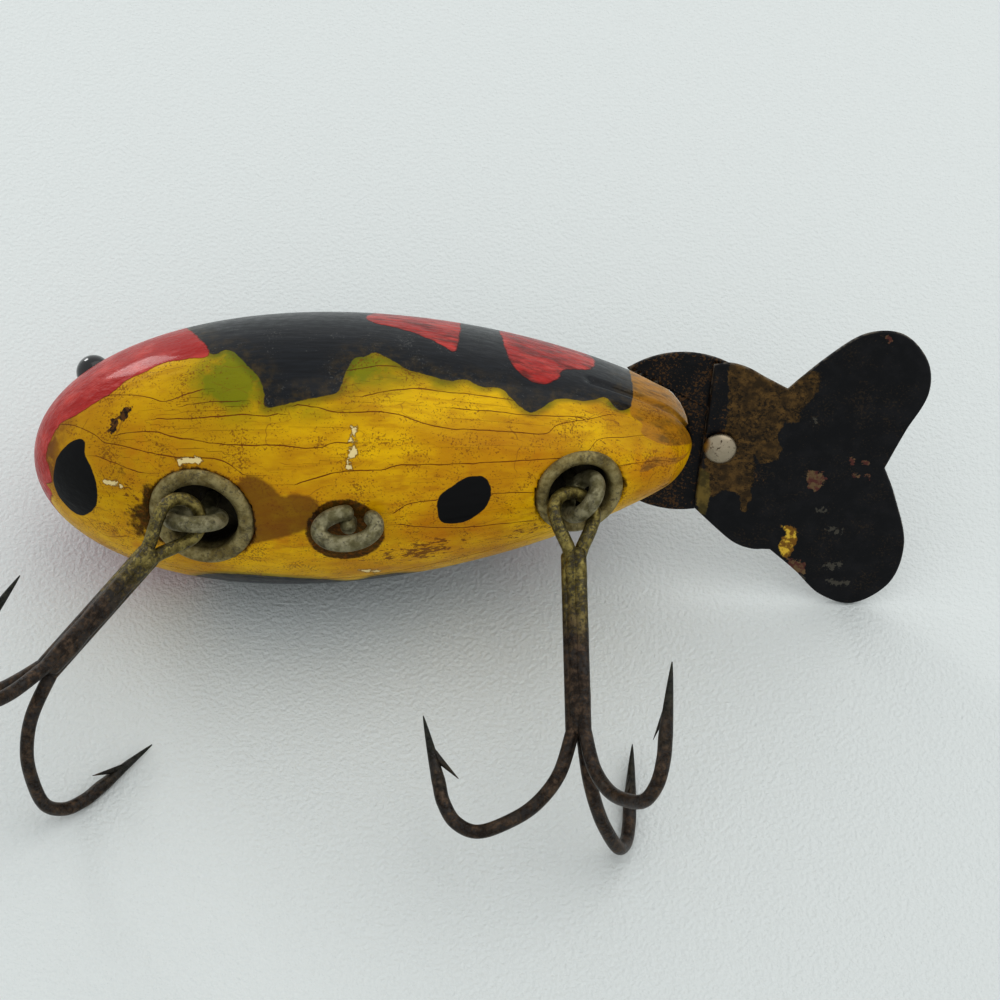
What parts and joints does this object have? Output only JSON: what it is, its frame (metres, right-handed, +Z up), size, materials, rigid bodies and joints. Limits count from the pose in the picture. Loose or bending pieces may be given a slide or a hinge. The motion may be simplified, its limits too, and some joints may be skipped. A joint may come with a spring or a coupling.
{
  "type": "wooden fishing lure",
  "caption": "Egg-shaped painted wooden plug lying on its side, with sunken hook cups, wire screw eyes, treble hooks and a pivoting sheet-metal tail fin.",
  "frame": {"origin": "on the table, under the middle of the lure's outline box", "axes": "+Z up, nose toward -X, belly and hooks toward -Y"},
  "size_m": [0.1056, 0.0624, 0.0356],
  "materials": {
    "paint": "aged glossy enamel, yellow with a black back and red head",
    "eye_bead": "black, polished",
    "cup_metal": "worn plating, grey-green with corrosion",
    "eye_wire": "dull plated wire with dirt",
    "hook_steel": "dark rusty brown",
    "black_plate": "black paint, worn to brown in places",
    "rivet_metal": "nickel plate, slightly pitted"
  },
  "bodies": {
    "lure": {"wood_body": "paint", "eye_left": "eye_bead", "eye_right": "eye_bead", "front_hook_cup": "cup_metal", "rear_hook_cup": "cup_metal", "front_screw_eye": "eye_wire", "middle_screw_eye": "eye_wire", "rear_screw_eye": "eye_wire", "front_treble_hook": "hook_steel", "rear_treble_hook": "hook_steel", "tail_base_plate": "black_plate", "tail_rivet": "rivet_metal"},
    "tail_fin": {"tail_fin_plate": "black_plate"}
  },
  "joints": [
    {"name": "tail_swing", "type": "hinge", "parent": "lure", "child": "tail_fin", "pos_m": [0.03158, 0.01411, 0.01793], "axis": [-0.0281, -0.9272, 0.3736], "range_deg": [-10, 30]}
  ]
}
